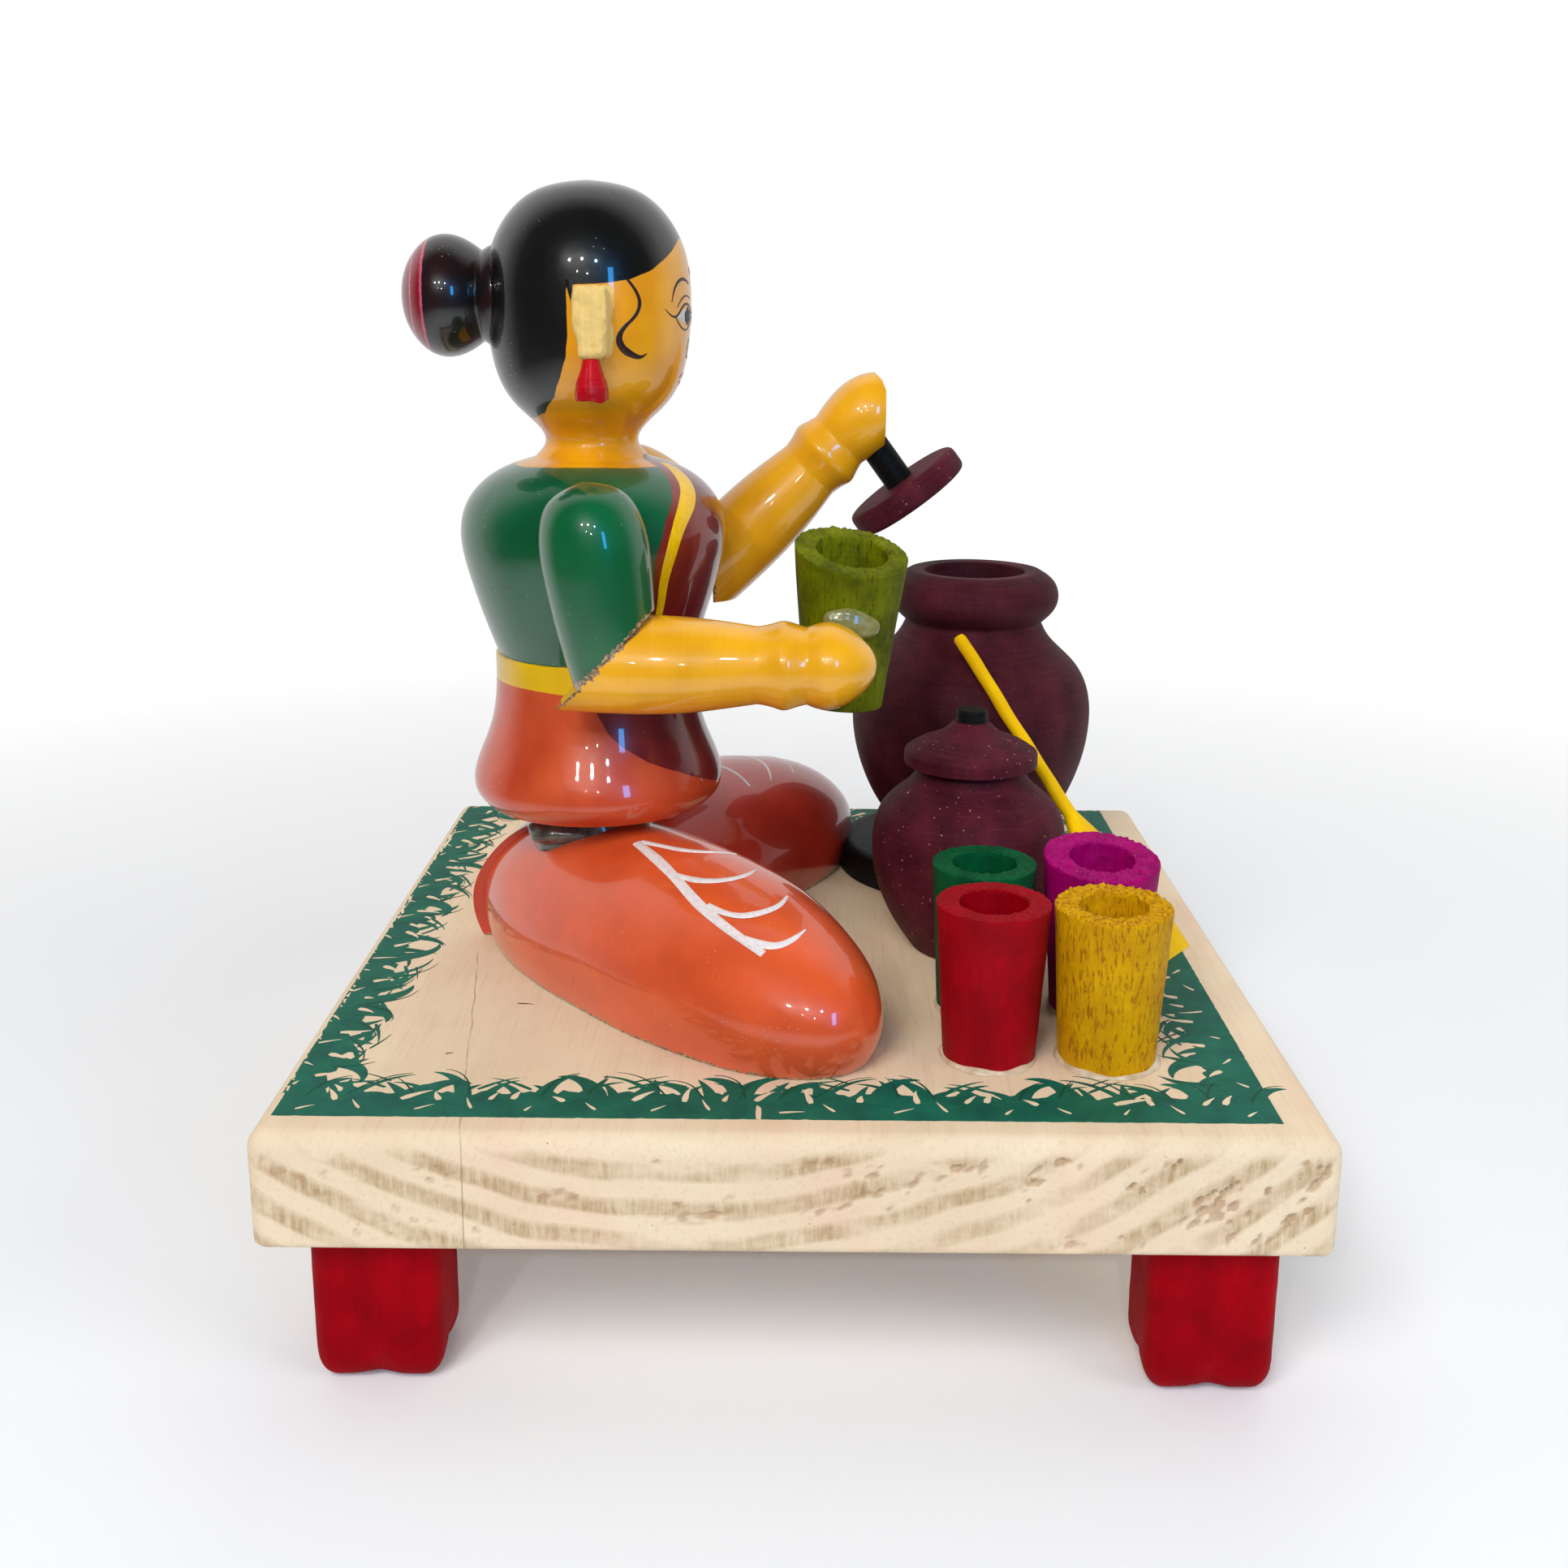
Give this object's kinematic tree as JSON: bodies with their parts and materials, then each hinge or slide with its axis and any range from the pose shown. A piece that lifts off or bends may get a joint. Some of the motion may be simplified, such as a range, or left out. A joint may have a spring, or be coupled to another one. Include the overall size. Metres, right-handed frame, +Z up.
{
  "type": "lacquered turned-wood doll group",
  "caption": "Seated turned-wood woman in a painted sari on a square footed board, arms on shoulder pegs, holding a cup and a pot lid among toy pots and cups.",
  "frame": {"origin": "centre of the board's outline, at the level of the feet's undersides", "axes": "+Z up, +X the way the woman faces, +Y to her left"},
  "size_m": [0.1524, 0.1524, 0.1734],
  "materials": {
    "pine": "bare sanded pine with a printed green grass border",
    "foot_paint": "matte red paint on wood",
    "set_glue": "clear to milky set glue",
    "yellow_lac": "glossy lac, painted in several colours",
    "green_lac": "glossy lac",
    "black_lac": "glossy lac",
    "orange_lac": "glossy lac",
    "bare_wood": "raw carved wood",
    "earring_paint": "satin red paint",
    "dowel_wood": "bare bamboo",
    "maroon_paint": "matte maroon paint",
    "black_paint": "matte black paint",
    "olive_paint": "matte olive paint",
    "red_paint": "matte red paint",
    "yellow_paint": "matte yellow paint",
    "green_paint": "matte dark green paint",
    "magenta_paint": "matte magenta paint"
  },
  "bodies": {
    "base": {"base_board": "pine", "big_pot": "maroon_paint", "big_pot_stand": "black_paint", "cup_dark_green": "green_paint", "cup_dark_green_glue": "set_glue", "cup_magenta": "magenta_paint", "cup_magenta_glue": "set_glue", "cup_red": "red_paint", "cup_red_glue": "set_glue", "cup_yellow": "yellow_paint", "cup_yellow_glue": "set_glue", "figure_spindle": "yellow_lac", "foot_front_left": "foot_paint", "foot_front_right": "foot_paint", "foot_rear_left": "foot_paint", "foot_rear_right": "foot_paint", "hair_bun": "black_lac", "hair_bun_dowel": "dowel_wood", "left_ear": "bare_wood", "left_earring": "earring_paint", "left_leg": "orange_lac", "left_shoulder_peg": "dowel_wood", "paddle": "yellow_paint", "right_ear": "bare_wood", "right_earring": "earring_paint", "right_leg": "orange_lac", "right_shoulder_peg": "dowel_wood", "seat_glue": "set_glue", "seat_peg": "dowel_wood", "small_pot": "maroon_paint"},
    "right_arm": {"right_upper_arm": "green_lac", "right_elbow_dowel": "dowel_wood", "right_forearm": "yellow_lac", "held_cup": "olive_paint", "held_cup_glue": "set_glue"},
    "left_arm": {"left_upper_arm": "green_lac", "left_elbow_dowel": "dowel_wood", "left_forearm": "yellow_lac", "held_lid": "maroon_paint", "held_lid_stem": "black_paint"},
    "small_lid": {"small_pot_lid": "maroon_paint", "small_pot_knob": "black_paint"}
  },
  "joints": [
    {"name": "right_shoulder", "type": "hinge", "parent": "base", "child": "right_arm", "pos_m": [-0.0316, -0.0315, 0.119], "axis": [0, -1, 0], "range_deg": [-15, 50]},
    {"name": "left_shoulder", "type": "hinge", "parent": "base", "child": "left_arm", "pos_m": [-0.0302, 0.0235, 0.12], "axis": [0, -1, 0], "range_deg": [-8, 35]},
    {"name": "small_lid_lift", "type": "slide", "parent": "base", "child": "small_lid", "axis": [0, 0, 1], "range_m": [0, 0.03]}
  ]
}
